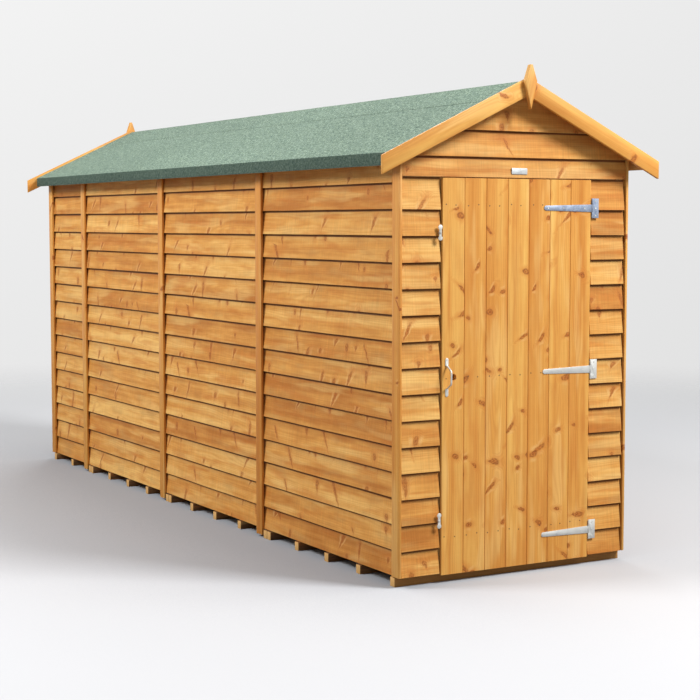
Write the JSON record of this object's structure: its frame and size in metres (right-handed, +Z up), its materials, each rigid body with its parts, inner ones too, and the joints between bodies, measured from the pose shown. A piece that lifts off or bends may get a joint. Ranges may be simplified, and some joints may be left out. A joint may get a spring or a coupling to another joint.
{
  "type": "garden shed",
  "caption": "Long apex garden shed of lapped boards with a felted roof and a ledged door in the gable end.",
  "frame": {"origin": "middle of the footprint at ground level, under the floor bearers", "axes": "+Z up, +Y from the door gable to the back gable, +X to the right seen from in front of the door"},
  "size_m": [1.44, 4.488, 2.195],
  "materials": {
    "cladding": "rough-sawn softwood, golden brown dip treatment",
    "trim": "planed softwood, golden brown dip treatment",
    "frame": "sawn softwood framing, golden brown dip treatment",
    "roof_boards": "sawn softwood boards",
    "floor": "planed softwood boards",
    "bearers": "sawn softwood",
    "door": "planed tongue and groove softwood, golden brown dip treatment",
    "felt": "green mineral-faced bitumen felt",
    "ironmongery": "bright galvanised steel"
  },
  "bodies": {
    "shed": {"left_cladding_1": "cladding", "left_cladding_2": "cladding", "left_cladding_3": "cladding", "left_cladding_4": "cladding", "right_cladding_1": "cladding", "right_cladding_2": "cladding", "right_cladding_3": "cladding", "right_cladding_4": "cladding", "front_cladding_left": "cladding", "front_cladding_right": "cladding", "front_gable_cladding": "cladding", "back_cladding": "cladding", "left_cover_strips": "trim", "right_cover_strips": "trim", "corner_strips": "trim", "front_bargeboards": "trim", "back_bargeboards": "trim", "gable_finials": "trim", "left_wall_rails": "frame", "right_wall_rails": "frame", "left_wall_studs": "frame", "right_wall_studs": "frame", "front_posts": "frame", "front_rails": "frame", "front_rafters": "frame", "back_posts": "frame", "back_rails": "frame", "back_rafters": "frame", "roof_purlins": "frame", "eave_battens": "frame", "roof_boards_left": "roof_boards", "roof_boards_right": "roof_boards", "roof_felt_left": "felt", "roof_felt_right": "felt", "floor_bearers": "bearers", "floor_deck": "floor", "hinge_plates": "ironmongery", "turn_button_screws": "ironmongery"},
    "door": {"door_leaf": "door", "door_ledges": "door", "door_braces": "door", "door_hinge_straps": "ironmongery", "pull_handle": "ironmongery"},
    "turn_button_upper": {"turn_button_upper": "ironmongery"},
    "turn_button_lower": {"turn_button_lower": "ironmongery"}
  },
  "joints": [
    {"name": "door_hinge", "type": "hinge", "parent": "shed", "child": "door", "pos_m": [0.393, -2.165, 0], "axis": [0, 0, 1], "range_deg": [0, 170]},
    {"name": "upper_button_turn", "type": "hinge", "parent": "shed", "child": "turn_button_upper", "pos_m": [-0.407, -2.16, 1.488], "axis": [0, 1, 0], "range_deg": [-90, 90]},
    {"name": "lower_button_turn", "type": "hinge", "parent": "shed", "child": "turn_button_lower", "pos_m": [-0.407, -2.16, 0.273], "axis": [0, 1, 0], "range_deg": [-90, 90]}
  ]
}
